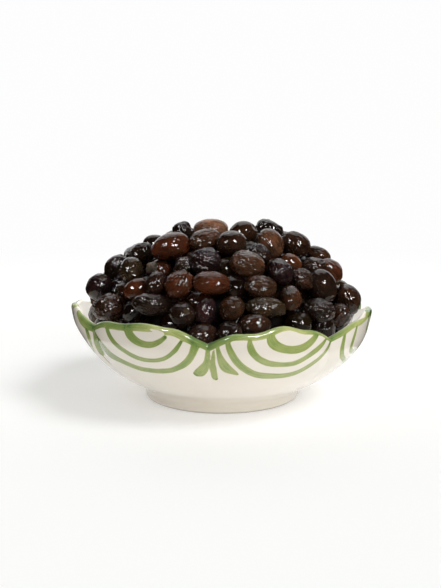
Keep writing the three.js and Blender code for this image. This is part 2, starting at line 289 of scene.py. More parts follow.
SWAGS = {0: FRONT_RIGHT_SWAGS, 1: RIGHT_SIDE_SWAGS, 5: LEFT_SIDE_SWAGS, 6: FRONT_LEFT_SWAGS}
LEAVES = {0: FRONT_LEAVES, 6: LEFT_LEAVES}
VARIED_LEAVES_AT = (2, 4)
# The rim's band along a lobe: across the lobe, how loaded the brush is, and how many millimetres the band
# reaches down from the crest of the lip and over it, where that isn't BAND_OVER. A negative reach over it
# starts the band below it.
FRONT_RIGHT_RIM = [
    (-1.0, 1.0, 5.4), (-0.72, 0.85, 4.6), (-0.5, 0.4, 4.0), (-0.2, 0.45, 4.4), (-0.08, 0.5, 4.1),
    (0.15, 0.0, 3.0), (0.4, 0.3, 2.9), (0.56, 0.7, 3.4), (0.7, 0.4, 3.0), (1.0, 0.6, 3.6),
]
FRONT_LEFT_RIM = [
    (-1.0, 1.0, 5.4), (-0.8, 0.9, 4.2), (-0.5, 0.7, 4.6), (-0.2, 0.75, 4.6), (-0.1, 1.05, 5.0),
    (0.02, 0.7, 5.2), (0.2, 0.2, 5.0), (0.36, 0.1, 4.2), (0.55, 0.35, 4.6), (0.73, 0.45, 5.6),
    (0.81, 1.1, 5.6), (0.9, 0.7, 4.4), (1.0, 0.8, 4.8),
]
RIGHT_SIDE_RIM = [
    (-1.0, 0.9, 3.4), (-0.75, 0.5, 3.7), (-0.5, 0.25, 3.8), (-0.36, 0.15, 4.0, -0.8),
    (-0.2, 0.2, 4.6, -1.8), (-0.1, 0.5, 4.8, -0.6), (0.0, 0.9, 5.0, 3.4), (0.3, 1.0, 5.2, 3.9),
    (0.5, 0.9, 4.6, 3.4), (0.65, 0.5, 4.4, 0.6), (1.0, 0.6, 4.2),
]
LEFT_SIDE_RIM = [
    (-1.0, 0.6, 4.6), (0.1, 0.3, 4.6, 0.6), (0.3, 0.1, 3.4, 2.6), (0.46, 0.2, 3.0, 2.2),
    (0.50, 0.3, -1.0, -1.0), (0.56, 0.4, -1.0, -1.0), (0.59, 0.5, 3.6), (0.65, 0.5, 6.3),
    (0.77, 0.5, 7.4), (0.83, 0.6, 7.4), (0.92, 0.8, 6.0), (1.0, 1.0, 5.4),
]
# Where the brush left the glaze bare inside the band.
BARE = {6: [(0.26, 2.2, 0.1), (0.31, 2.6, 0.9), (0.37, 3.0, 1.7), (0.42, 3.3, 1.6)]}
RIMS = {0: FRONT_RIGHT_RIM, 1: RIGHT_SIDE_RIM, 5: LEFT_SIDE_RIM, 6: FRONT_LEFT_RIM}
PAINT_DEEPEST = 36.0  # millimetres below the rim that no stroke goes past
BELOW_CREST = 1.0  # the drops are measured from the front of the lip, this far from its crest
BRUSH_SPREAD = 0.85  # the glaze spreads every brush mark by this much
STROKE_SAMPLES = 160
STROKE_EASING = 60  # how often the brush line is evened out, so that it has no corners
STROKE_REACH = math.radians(39)
PAINT_SEED = 7
FAR_FROM_PAINT = 9.0
# A tone runs from 0, thin paint, to 1, paint that lies thick and dark.
TONE_START = 0.52
TONE_END = 0.36
TONE_FALL = 1 / 2.2  # the share of a stroke over which its tone falls
TIP_START = 0.9
TIP_POOL = 0.45  # the paint pools where the brush is lifted
LOADED = {5: 0.1, 6: 0.14}  # lobes painted with more on the brush
# The streaks along a stroke follow its run: how far it goes, and how far apart the strokes start.
RUN_LENGTH = 60
RUN_APART = 100
BAND_OVER = 0.3
BAND_REACH = (-4, 10)
BAND_RIPPLES = 9
BAND_UNEVEN = 0.5
BAND_BLUR = 1.5
BAND_THINS = 0.25
BAND_LOADED = 0.04
BAND_CLOUDS = 0.2
BAND_RUN = 80
BAND_RUN_START = 9000


def stroke_line(points):
    """Samples of a smooth brush line through a stroke's points."""
    points = np.array(points, float)
    padded = np.vstack([2 * points[0] - points[1], points, 2 * points[-1] - points[-2]])
    line = []
    for t in np.linspace(0, len(points) - 1, STROKE_SAMPLES):
        i = min(int(t), len(points) - 2)
        f = t - i
        a, b, c, d = padded[i:i + 4]
        squared = 2 * a - 5 * b + 4 * c - d
        cubed = 3 * b - a - 3 * c + d
        line.append(0.5 * (2 * b + (c - a) * f + squared * f ** 2 + cubed * f ** 3))
    line = np.array(line)
    for _ in range(STROKE_EASING):
        line[1:-1] = (line[:-2] + 2 * line[1:-1] + line[2:]) / 4
    return line


def varied(points, rng, sideways=0.03, shaky=0.008, deeper=0.05, wider=0.25):
    """The same stroke as another hand movement makes it."""
    shift, drop, width = rng.uniform(-1, 1, 3)
    return [(
        u + sideways * shift + rng.uniform(-shaky, shaky),
        depth * (1 + deeper * drop),
        brush * (1 + wider * width),
    ) for u, depth, brush in points]


def all_strokes():
    """Every stroke below the rim, as (lobe, points)."""
    rng = np.random.default_rng(PAINT_SEED)
    strokes = []
    for index in range(LOBES):
        pattern = FRONT_LEFT_SWAGS if index % 2 else FRONT_RIGHT_SWAGS
        swags = SWAGS.get(index) or [varied(swag, rng) for swag in pattern]
        strokes += [(index, swag) for swag in swags]
        strokes += [(index, leaf) for leaf in LEAVES.get(index, [])]
        if index in VARIED_LEAVES_AT:
            strokes += [(index, varied(leaf, rng)) for leaf in FRONT_LEAVES]
    return strokes


def stroke_distance(points, index, angles, drops, radii):
    """The vertices near a stroke, how far each lies from its edge, and the nearest sample of its line."""
    line = stroke_line(points)
    line_angles = angle_at(index + (1 + line[:, 0]) / 2)
    middle = line_angles.mean()
    apart = (angles - middle + math.pi) % TURN - math.pi
    near = np.flatnonzero((np.abs(apart) < STROKE_REACH) & (drops > 0) & (drops < PAINT_DEEPEST))
    across = (apart[near][:, None] - (line_angles - middle)[None]) * radii[near][:, None]
    down = drops[near][:, None] - line[:, 1][None] - BELOW_CREST
    gap = np.hypot(across, down) - (line[:, 2][None] + BRUSH_SPREAD) / 2
    return near, gap.min(axis=1), gap.argmin(axis=1)


def paint_band(angles, drops, edge, tone, run):
    """Adds the band over the rim to the painting."""
    rims = {}
    for i in range(LOBES):
        rim = RIMS.get(i) or (FRONT_LEFT_RIM if i % 2 else FRONT_RIGHT_RIM)
        rims[i] = np.array([(*key, BAND_OVER)[:4] for key in rim])
    highest, lowest = BAND_REACH
    for i in range(len(angles)):
        if not highest < drops[i] < lowest:
            continue
        index, u = lobe_at(angles[i])
        keys = rims[index]
        dark, width, over = (np.interp(u, keys[:, 0], keys[:, column]) for column in (1, 2, 3))
        along = Vector((math.sin(angles[i]), math.cos(angles[i]), 0)) * BAND_RIPPLES
        width += BAND_UNEVEN * noise.noise(along)
        gap = max(drops[i] - width, -drops[i] - over - BAND_UNEVEN * noise.noise(along * 1.7))
        if gap < edge[i] and gap < BAND_BLUR:
            edge[i] = gap
            # The brush leaves more at the crest than at the band's lower edge.
            thinner = BAND_THINS * smooth(drops[i] / width)
            tone[i] = dark + BAND_LOADED + BAND_CLOUDS * noise.noise(along * 2.3) - thinner
            run[i] = angles[i] * BAND_RUN + BAND_RUN_START


def paint_bowl(mesh, angles, drops, radii):
    """Stores the painting on the mesh: how far a point lies from the edge of a stroke, in millimetres,
    and how dark and how far along its stroke it is."""
    count = len(angles)
    edge = np.full(count, FAR_FROM_PAINT)
    tone = np.zeros(count)
    run = np.zeros(count)
    for number, (index, points) in enumerate(all_strokes()):
        near, gap, best = stroke_distance(points, index, angles, drops, radii)
        closer = gap < edge[near]
        chosen = near[closer]
        edge[chosen] = gap[closer]
        share = best[closer] / (STROKE_SAMPLES - 1)
        tone[chosen] = TONE_START + (TONE_END - TONE_START) * np.minimum(1, share / TONE_FALL)
        tip = np.clip((share - TIP_START) / (1 - TIP_START), 0, 1)
        tone[chosen] += TIP_POOL * tip + LOADED.get(index, 0.0)
        run[chosen] = number * RUN_APART + share * RUN_LENGTH
    paint_band(angles, drops, edge, tone, run)
    for index, points in BARE.items():
        near, gap, _ = stroke_distance(points, index, angles, drops, radii)
        edge[near] = np.maximum(edge[near], -gap)
    for name, values in (("stroke_edge", edge), ("stroke_tone", tone), ("stroke_run", run)):
        layer = mesh.attributes.new(name, "FLOAT", "POINT")
        layer.data.foreach_set("value", values.astype(np.float32))


def make_bowl():
    rows, first_wall_row = bowl_section()
    bm = bmesh.new()
    angle_layer = bm.verts.layers.float.new("angle")
    drop_layer = bm.verts.layers.float.new("drop")
    radius_layer = bm.verts.layers.float.new("radius")
    spin_round(bm, [bm.verts.new((1, 0, row)) for row in range(len(rows))], STEPS)
    # Each ring takes its own shape, and keeps where its points lie: round the bowl and below the rim.
    rings = {}
    for v in bm.verts:
        step = round(math.atan2(v.co.y, v.co.x) / TURN * STEPS) % STEPS
        rings.setdefault(step, {})[round(v.co.z)] = v
    crest_row = first_wall_row + WALL_ROWS + LIP_ROWS // 2
    for step, ring in rings.items():
        angle = float(angle_at(LOBES * step / STEPS))
        section_points = [row(angle) for row in rows]
        lengths = [0.0]
        for (r0, z0), (r1, z1) in zip(section_points, section_points[1:]):
            lengths.append(lengths[-1] + math.hypot(r1 - r0, z1 - z0))
        for row, v in ring.items():
            radius, height = section_points[row]
            across = radius * math.sin(angle) + belly_shift(height)
            ahead = radius * math.cos(angle)
            v.co = Vector((across, -ahead, height)) * MM
            v[angle_layer] = math.atan2(across, ahead)
            v[drop_layer] = lengths[crest_row] - lengths[row]
            v[radius_layer] = radius
    bowl = piece_from(bm, "painted_bowl", merge=1e-7)
    mesh = bowl.data
    values = {}
    for name in ("angle", "drop", "radius"):
        values[name] = np.zeros(len(mesh.vertices), np.float32)
        mesh.attributes[name].data.foreach_get("value", values[name])
        mesh.attributes.remove(mesh.attributes[name])
    # Marks the inner wall, which the glaze paints whiter: partly a whiter glaze, partly painted light on
    # the wall that the heap shades.
    inside = mesh.attributes.new("inside", "FLOAT", "POINT")
    inside.data.foreach_set("value", np.clip(-values["drop"] - INSIDE_START, 0, 1))
    paint_bowl(mesh, *(values[name].astype(float) for name in ("angle", "drop", "radius")))
    return bowl


# ----------------------------------------
# The heap of olives, in millimetres.

HEAP_BASE = 50.0
HEAP_LOW = 43.0  # olives lie this far down between the core and the wall
HEAP_TOP = 103.4
HEAP_RADIUS = 80.5
HEAP_BULGE = 1.5
MEAN_LONG = 18.0
MEAN_WIDE = 14.6
# Dropped olives' sizes, as shares of the mean, and how much longer than it for their width they may be.
SIZE_SPREAD = 0.11
SMALLEST = 0.78
LARGEST = 1.22
SLIMNESS = (0.9, 1.1)
HEIGHT_BIAS = 0.8
TIP_SPREAD = 0.35  # how far an olive's long axis leaves the heap's surface
# How steeply up the heap's surface faces at its base, and how much more with each millimetre above it.
SLOPE_LOW = 0.3
SLOPE_RISE = 1.8 / 40

# Skins, as linear colours.
SKINS = {
    "black": (0.013, 0.0075, 0.005),
    "purple": (0.019, 0.0095, 0.0095),
    "dark_brown": (0.025, 0.012, 0.007),
    "green_brown": (0.028, 0.0175, 0.008),
    "brown": (0.040, 0.0185, 0.0095),
    "red_brown": (0.050, 0.0160, 0.0070),
    "orange_brown": (0.085, 0.029, 0.011),
    "olive_brown": (0.046, 0.028, 0.0115),
    # The two lightest skins go to olives at the heap's top: partly their own colour, partly painted light
    # from above.
    "light_brown": (0.095, 0.047, 0.026),
    "tan": (0.165, 0.082, 0.047),
    "grey": (0.09, 0.072, 0.055),
}

# How deep a kind's dents, its wrinkles and the grain of its skin are, in millimetres.
KINDS = {
    "plump": (0.4, 0.10, 0.22),
    "dented": (0.8, 0.22, 0.55),
    "creased": (0.9, 0.42, 0.85),
    "crinkled": (1.0, 0.75, 1.15),
}
GLOSS = 0.05  # how rough the oily skin is

# The olives seen from the front, each given one by one: kind, skin, place (across, towards the back, up),
# length, width, how far its long axis leans up to the right, and how far it points forward.
FRONT_OLIVES = [
    ("crinkled", "black", (-22, -6, 97.1), 14.5, 12.0, -35, 10),
    # The tan skin of this topmost olive is partly its own colour, partly painted light from above.
    ("dented", "tan", (-6, 4, 96.2), 20.5, 15.0, -4, 0),
    ("plump", "brown", (12, -6, 95.7), 17.5, 15.5, 35, 20),
    ("creased", "black", (28, 8, 96), 18.0, 12.5, -25, 0),
    ("creased", "brown", (-9, -26, 95), 18.5, 14.0, 18, 0),
    ("plump", "dark_brown", (5, -32, 94.5), 17.5, 15.0, 4, 0),
    # The light brown skin of this olive near the top is partly its own colour, partly painted light from
    # above.
    ("dented", "light_brown", (27, -22, 92.5), 18.5, 14.5, -62, 0),
    ("dented", "dark_brown", (42, -12, 90.5), 18.0, 14.5, -30, 0),
    ("dented", "red_brown", (-29, -26, 91.5), 23.0, 16.2, 16, 0),
    ("creased", "black", (-46, -8, 85), 15.0, 12.0, 30, 0),
    ("dented", "brown", (56, 0, 82), 15.0, 12.0, -25, 0),
    ("crinkled", "purple", (-9, -43, 86.5), 18.0, 15.0, 8, 15),
    ("crinkled", "black", (21, -34, 88.5), 13.5, 11.5, -30, 10),
    ("creased", "brown", (14, -47, 85), 20.5, 15.5, -12, 0),
    ("creased", "purple", (32, -43, 80.5), 16.0, 13.5, -50, 10),
    ("plump", "orange_brown", (38, -31, 83), 13.0, 11.0, -20, 0),
    ("crinkled", "black", (-21, -40, 83), 12.5, 10.5, 40, 0),
    ("dented", "green_brown", (-51, -26, 78), 17.0, 15.0, 20, 75),
    ("creased", "black", (-61, -4, 76), 17.0, 13.0, 60, 0),
    ("creased", "grey", (-39, -35, 81.5), 7.5, 6.0, 20, 30),
    ("creased", "dark_brown", (51, -20, 79), 16.0, 12.5, 10, 0),
    ("dented", "red_brown", (62, -12, 75.5), 16.0, 13.5, -50, 0),
    ("creased", "red_brown", (-23, -54, 76), 17.5, 15.5, 48, 10),
    ("dented", "red_brown", (-5, -57, 77), 20.5, 13.5, -4, 0),
    ("creased", "brown", (21, -56, 74), 18.0, 14.0, -12, 0),
    ("creased", "dark_brown", (-36, -47, 74.5), 15.5, 12.0, 70, 0),
    ("dented", "purple", (-70, -14, 66), 18.5, 15.0, 70, 35),
    ("crinkled", "dark_brown", (45, -36, 75.5), 14.0, 12.5, -40, 0),
    ("plump", "black", (55, -32, 70.5), 20.5, 16.5, -75, 0),
    ("dented", "brown", (37, -53, 68), 16.0, 12.5, -70, 60),
    ("plump", "red_brown", (-47, -41, 70), 15.5, 12.0, 20, 0),
    ("dented", "dark_brown", (71, -18, 60), 19.0, 15.0, -70, 0),
    ("crinkled", "dark_brown", (-63, -31, 58.5), 19.5, 16.0, 10, 10),
    ("creased", "black", (-38, -55, 65), 22.0, 13.0, -3, 0),
    ("dented", "black", (-21, -65, 61), 16.5, 14.5, 60, 55),
    ("creased", "purple", (-9, -66, 63), 15.5, 11.0, 80, 0),
    ("dented", "brown", (5, -66, 65), 15.5, 14.0, 45, 50),
    ("creased", "green_brown", (23, -62, 64.5), 22.5, 12.0, -5, 0),
    ("dented", "dark_brown", (16, -69, 56.5), 18.0, 13.5, 4, 0),
    ("crinkled", "black", (53, -46, 60), 18.0, 14.5, -10, 15),
    ("creased", "dark_brown", (66, -28, 53), 15.0, 12.0, 60, 0),
    ("dented", "dark_brown", (-9, -71, 51), 18.0, 13.5, 10, 0),
    ("dented", "black", (4, -71, 53.5), 14.5, 12.5, 15, 20),
]

# What the rest of the heap is drawn from: kind, skin, and how often.
DRAWN = [
    ("plump", "black", 3), ("dented", "black", 2), ("creased", "black", 3), ("crinkled", "black", 3),
    ("creased", "purple", 2), ("crinkled", "purple", 2),
    ("dented", "dark_brown", 4), ("creased", "dark_brown", 4), ("plump", "dark_brown", 2),
    ("dented", "green_brown", 2), ("creased", "green_brown", 2), ("dented", "brown", 2),
    ("creased", "red_brown", 3), ("dented", "red_brown", 2),
    ("plump", "orange_brown", 1), ("dented", "olive_brown", 1),
]
FRONT_EDGE = -6.0  # in front of this, the outer olives are those listed
BACK_TOP = 87.0  # and also above this
# The layers dropped after those listed: how deep each lies in the heap, how many times an olive is
# tried, and the share of two olives' widths that their middles keep apart.
LAYERS = {
    "outer": (0.0, 6000, 0.84),
    "tucked": (5.5, 6000, 0.8),
    "inner": (14.0, 4000, 0.85),
}
FINENESS = {"front": 5, "outer": 5, "tucked": 4, "inner": 4}  # how often an olive's faces are divided
SETTLE_STEPS = 90
SETTLE_PUSH = 0.3  # share of an overlap that one step takes away
TOUCH = 0.93  # olives are soft: they flatten a little where they touch
HAND_SET_GIVE = (0.2, 0.9, 0.2)  # those listed hardly move, apart from backwards and forwards
WALL_CLEARANCE = 0.4
# The heap leaves this much free along the rim, more and more from a height on.
RIM_GAP = 4.6
RIM_GAP_START = 42
RIM_GAP_RUN = 8


# How an olive's shape and skin vary: how flat, egg-shaped and bent it is, how fine its wrinkles are, how
# light its skin is, and how much darker its skin is painted where the olive lies tucked under others:
# painted shade.
FLATNESS = (0.9, 1.0)
EGG = 0.09
BEND = 0.05
BEND_PIVOT = 0.4
WRINKLE_FINENESS = (1.9, 2.6)
SHADES = (0.8, 1.25)
TUCKED_PAINTED_SHADE = 0.55
SEED_RANGE = 50
# The noise that shapes a skin, on an olive of radius 1: how close its lumps and warps are, how far a warp
# reaches, how many creases come to a fold, and how far folds and creases are drawn out lengthwise.
LUMPS = 1.15
WARPS = 1.6
WARP = 0.45
CREASES = 2.3
FOLD_STRETCH = 0.55
CREASE_STRETCH = 0.5
# How narrow the grooves are, and what share of a kind's dents and wrinkles each part makes.
GROOVE_SHARPNESS = 7
CREASE_SHARPNESS = 6
GROOVE_EASE = 1.5
LUMP_SHARE = 0.9
LUMP_SINK = 0.1
FOLD_SHARE = 1.1
GROOVE_SHARE = 0.7
CREASE_SHARE = 0.38
# The stem's dimple: where it starts along a long half of 1, how soft its edge is, and its depth.
STEM_START = 0.945
STEM_EDGE = 0.05
STEM_DEPTH = 0.9


class Olive:
    def __init__(self, kind, skin, place, long, wide, axis, layer):
        self.kind = kind
        self.skin = skin
        self.place = np.array(place, float)
        self.long = long
        self.wide = wide
        self.axis = np.array(axis, float) / np.linalg.norm(axis)
        self.layer = layer


def heap_radius(height, inset):
    share = (height - HEAP_BASE) / (HEAP_TOP - inset - HEAP_BASE)
    if share < 0:
        return HEAP_RADIUS - inset
    return (HEAP_RADIUS - inset) * math.sqrt(max(0.0, 1 - share ** HEAP_BULGE))


def hand_set_olives():
    olives = []
    for kind, skin, place, long, wide, lean, forward in FRONT_OLIVES:
        a, f = math.radians(lean), math.radians(forward)
        axis = (math.cos(a) * math.cos(f), -math.sin(f), math.sin(a) * math.cos(f))
        olives.append(Olive(kind, skin, place, long, wide, axis, "front"))
    return olives


def dropped_olives(rng, olives, layer):
    """Olives dropped on the heap where there is room for them."""
    inset, tries, closeness = LAYERS[layer]
    kinds = [(kind, skin) for kind, skin, often in DRAWN for _ in range(often)]
    kept = list(olives)
    added = []
    for _ in range(tries):
        kind, skin = kinds[int(rng.integers(len(kinds)))]
        size = min(LARGEST, max(SMALLEST, rng.normal(1.0, SIZE_SPREAD)))
        slim = rng.uniform(*SLIMNESS)
        long, wide = MEAN_LONG * size * slim, MEAN_WIDE * size / math.sqrt(slim)
        depth = inset + wide / 2
        up = HEAP_LOW + (HEAP_TOP - HEAP_LOW - depth) * rng.uniform() ** HEIGHT_BIAS
        around = rng.uniform(0, TURN)
        radius = heap_radius(up, depth)
        place = np.array((radius * math.sin(around), -radius * math.cos(around), up))
        turn, tip = rng.uniform(0, TURN), rng.normal(0, TIP_SPREAD)
        if layer == "outer" and (place[1] < FRONT_EDGE or up > BACK_TOP):
            continue
        reach = closeness * (wide + long) / 4
        near = (np.linalg.norm(o.place - place) < reach + closeness * (o.wide + o.long) / 4 for o in kept)
        if any(near):
            continue
        outward = SLOPE_LOW + SLOPE_RISE * max(0.0, up - HEAP_BASE)
        slope = np.array((math.sin(around), -math.cos(around), outward))
        slope /= np.linalg.norm(slope)
        side = np.cross(slope, (0, 0, 1.0))
        side /= np.linalg.norm(side)
        rise = np.cross(side, slope)
        axis = math.cos(turn) * side + math.sin(turn) * rise + math.sin(tip) * slope
        olive = Olive(kind, skin, place, long, wide, axis, layer)
        kept.append(olive)
        added.append(olive)
    return added


def settle(olives):
    """Pushes touching olives apart and holds them inside the heap and the bowl."""
    places = np.array([o.place for o in olives])
    axes = np.array([o.axis for o in olives])
    longs = np.array([o.long / 2 for o in olives])
    wides = np.array([o.wide / 2 for o in olives])
    give = np.array([HAND_SET_GIVE if o.layer == "front" else (1, 1, 1) for o in olives])
    lowered = np.array([0.0 if o.layer == "front" else LAYERS[o.layer][0] for o in olives])
    for _ in range(SETTLE_STEPS):
        between = places[None] - places[:, None]
        apart = np.linalg.norm(between, axis=2) + np.eye(len(olives)) * 1e6
        towards = between / apart[..., None]
        cosine = np.einsum("ijk,ik->ij", towards, axes)
        reach = 1 / np.sqrt(cosine ** 2 / longs[:, None] ** 2 + (1 - cosine ** 2) / wides[:, None] ** 2)
        overlap = np.maximum(0, TOUCH * (reach + reach.T) - apart)
        push = -(overlap[..., None] * towards).sum(axis=1) * SETTLE_PUSH
        places = places + push * give
        for i in range(len(olives)):
            x, y, z = places[i]
            radius = math.hypot(x, y)
            inset = wides[i] + lowered[i]
            if olives[i].layer != "front":
                share = max(0.0, z - HEAP_BASE) / (HEAP_TOP - inset - HEAP_BASE)
                excess = (radius / (HEAP_RADIUS - inset)) ** 2 + share ** HEAP_BULGE
                if excess > 1:
                    shrink = excess ** -0.5
                    places[i] = (x * shrink, y * shrink, HEAP_BASE + (z - HEAP_BASE) * shrink)
            x, y, z = places[i]
            radius = math.hypot(x, y)
            angle = math.atan2(x, -y)
            room = inner_radius(angle, z) - wides[i] - WALL_CLEARANCE
            if olives[i].layer != "front":
                room -= RIM_GAP * smooth((z - RIM_GAP_START) / RIM_GAP_RUN)
            if radius > room:
                places[i][:2] *= room / radius
    for olive, place in zip(olives, places):
        olive.place = place


def shape_olive(bm, olive, rng, layers):
    """One olive: an ellipsoid with a stem end, dents and fine wrinkles."""
    dent, wrinkle, _ = KINDS[olive.kind]
    half_long, half_wide = olive.long / 2, olive.wide / 2
    flat = rng.uniform(*FLATNESS)
    egg = rng.uniform(-EGG, EGG)
    bend = rng.uniform(-BEND, BEND)
    seed = Vector(rng.uniform(-SEED_RANGE, SEED_RANGE, 3))
    fine = rng.uniform(*WRINKLE_FINENESS)
    turned = Vector((0, 1, 0)).rotation_difference(Vector(olive.axis)).to_matrix()
    turned = turned @ Matrix.Rotation(rng.uniform(0, TURN), 3, "Y")
    middle = Vector(olive.place)
    skin = Vector(SKINS[olive.skin]) * rng.uniform(*SHADES)
    # Olives tucked under others and inside the heap get darker skins: painted shade.
    if olive.layer in ("tucked", "inner"):
        skin *= TUCKED_PAINTED_SHADE
    skin_layer, own_layer, stem_layer = layers
    made = bmesh.ops.create_icosphere(bm, subdivisions=FINENESS[olive.layer], radius=1.0)
    for v in made["verts"]:
        n = v.co.normalized()
        lump = noise.noise(n * LUMPS + seed)
        w = n + noise.noise_vector(n * WARPS + seed) * WARP
        folds = noise.noise(Vector((w.x, w.y * FOLD_STRETCH, w.z)) * fine + seed)
        creases = noise.noise(Vector((w.x, w.y * CREASE_STRETCH, w.z)) * fine * CREASES - seed)
        # A groove runs wherever the folds or the creases cross nought.
        groove = max(0.0, 1 - abs(folds) * GROOVE_SHARPNESS) ** GROOVE_EASE
        fine_groove = max(0.0, 1 - abs(creases) * CREASE_SHARPNESS) ** GROOVE_EASE
        folded = FOLD_SHARE * folds - GROOVE_SHARE * groove - CREASE_SHARE * fine_groove
        depth = dent * (LUMP_SHARE * lump - LUMP_SINK) + wrinkle * folded
        stem = smooth((n.y - STEM_START) / STEM_EDGE)
        wide = half_wide * (1 + egg * n.y)
        p = Vector((n.x * wide, n.y * half_long, n.z * wide * flat))
        p += n * depth
        p.y -= STEM_DEPTH * stem
        p.x += bend * half_long * (n.y ** 2 - BEND_PIVOT)
        v[own_layer] = p + seed
        v[skin_layer] = (*skin, 1.0)
        v[stem_layer] = stem
        v.co = (turned @ p + middle) * MM


def make_olives(name, olives, rng):
    bm = bmesh.new()
    layers = (
        bm.verts.layers.float_color.new("skin"),
        bm.verts.layers.float_vector.new("own"),
        bm.verts.layers.float.new("stem"),
    )
    for olive in olives:
        shape_olive(bm, olive, rng, layers)
    return piece_from(bm, name)


CORE_INSET = 20.0
CORE_JOIN = 34.0  # where the part that fills the bowl ends and the dome starts
CORE_STEPS = 84
CORE_ROWS = 26
CORE_LUMPS = 2.2
CORE_LUMP_SIZE = 9
CORE_EASE = 1.5  # the rows of the dome lie closer together at its foot
CORE_SHOULDER = 12  # how sharply the part in the bowl turns into the dome
CORE_CLEARANCE = 1.4  # from the bowl


def make_core():
    """The inside of the heap, under the olives, near-black as painted shade between them: it fills the bowl
    and rises to a lumpy dome.
    """
    bm = bmesh.new()
    spin_round(bm, [bm.verts.new((1, 0, row)) for row in range(2 * CORE_ROWS + 1)], CORE_STEPS)
    floor = WALL_TOP - INNER_DEPTH
    for v in bm.verts:
        angle = math.atan2(v.co.x, -v.co.y)
        row = round(v.co.z)
        if row <= CORE_ROWS:
            height = floor + (CORE_JOIN - floor) * (row / CORE_ROWS) ** 2
            radius = max(0.0, inner_radius(angle, height) - CORE_CLEARANCE) if row else 0.0
            height += CORE_CLEARANCE
        else:
            share = (row - CORE_ROWS) / CORE_ROWS
            rise = share ** CORE_EASE
            rim = inner_radius(angle, CORE_JOIN) - CORE_CLEARANCE
            dome = (HEAP_RADIUS - CORE_INSET) * math.sqrt(max(0.0, 1 - rise ** HEAP_BULGE))
            radius = dome + max(0.0, rim - dome) * (1 - share) ** CORE_SHOULDER
            height = CORE_JOIN + CORE_CLEARANCE + (HEAP_TOP - CORE_INSET - CORE_JOIN) * rise
            spot = Vector((radius * math.sin(angle), radius * math.cos(angle), height))
            height += CORE_LUMPS * noise.noise(spot / CORE_LUMP_SIZE) * smooth(share * 4)
        across = radius * math.sin(angle) + belly_shift(height)
        v.co = Vector((across, -radius * math.cos(angle), height)) * MM
    return piece_from(bm, "heap_core", merge=1e-6)


# ----------------------------------------
# Materials


class Shader:
    """Builds a material's nodes: each call adds one node and returns its first output."""

    def __init__(self, name):
        self.material = bpy.data.materials.new(name)
        self.material.use_nodes = True
        self.tree = self.material.node_tree
        self.tree.nodes.clear()
        self.surface = self.tree.nodes.new("ShaderNodeBsdfPrincipled")
        output = self.tree.nodes.new("ShaderNodeOutputMaterial")
        self.tree.links.new(self.surface.outputs["BSDF"], output.inputs["Surface"])

    def put(self, socket, value):
        if isinstance(value, bpy.types.NodeSocket):
            self.tree.links.new(value, socket)
        else:
            socket.default_value = value

    def set(self, **values):
        for name, value in values.items():
            self.put(self.surface.inputs[name.replace("_", " ")], value)

    def attribute(self, name, output="Fac"):
        node = self.tree.nodes.new("ShaderNodeAttribute")
        node.attribute_name = name
        return node.outputs[output]

    def place(self):
        return self.tree.nodes.new("ShaderNodeTexCoord").outputs["Object"]

    def split(self, vector):
        node = self.tree.nodes.new("ShaderNodeSeparateXYZ")
        self.put(node.inputs[0], vector)
        return node.outputs

    def math(self, operation, a, b=0.0):
        node = self.tree.nodes.new("ShaderNodeMath")
        node.operation = operation
        self.put(node.inputs[0], a)
        self.put(node.inputs[1], b)
        return node.outputs[0]

    def times(self, a, b):
        return self.math("MULTIPLY", a, b)

    def swung(self, value, noise, reach):
        """The value, moved up and down by a noise."""
        return self.math("ADD", value, self.times(self.math("SUBTRACT", noise, 0.5), reach))

    def ramp(self, value, low, high, to_low=0.0, to_high=1.0):
        node = self.tree.nodes.new("ShaderNodeMapRange")
        node.interpolation_type = "SMOOTHSTEP"
        names = ("Value", "From Min", "From Max", "To Min", "To Max")
        for name, put in zip(names, (value, low, high, to_low, to_high)):
            self.put(node.inputs[name], put)
        return node.outputs[0]

    def mix_values(self, share, a, b):
        return self.math("ADD", self.times(share, b - a), a)

    def mix(self, share, a, b, blend="MIX"):
        node = self.tree.nodes.new("ShaderNodeMix")
        node.data_type = "RGBA"
        node.blend_type = blend
        self.put(node.inputs[0], share)
        for socket, value in ((node.inputs[6], a), (node.inputs[7], b)):
            self.put(socket, value if isinstance(value, bpy.types.NodeSocket) else (*value, 1.0))
        return node.outputs[2]

    def vector(self, x, y, z):
        node = self.tree.nodes.new("ShaderNodeCombineXYZ")
        for socket, value in zip(node.inputs, (x, y, z)):
            self.put(socket, value)
        return node.outputs[0]

    def scaled(self, vector, scale):
        node = self.tree.nodes.new("ShaderNodeVectorMath")
        node.operation = "MULTIPLY"
        self.put(node.inputs[0], vector)
        self.put(node.inputs[1], scale)
        return node.outputs[0]

    def noise(self, vector, scale, detail=3.0, roughness=0.5):
        node = self.tree.nodes.new("ShaderNodeTexNoise")
        self.put(node.inputs["Vector"], vector)
        node.inputs["Scale"].default_value = scale
        node.inputs["Detail"].default_value = detail
        node.inputs["Roughness"].default_value = roughness
        return node.outputs[0]

    def bump(self, height, distance, strength=1.0):
        node = self.tree.nodes.new("ShaderNodeBump")
        node.inputs["Distance"].default_value = distance
        node.inputs["Strength"].default_value = strength
        self.put(node.inputs["Height"], height)
        return node.outputs[0]


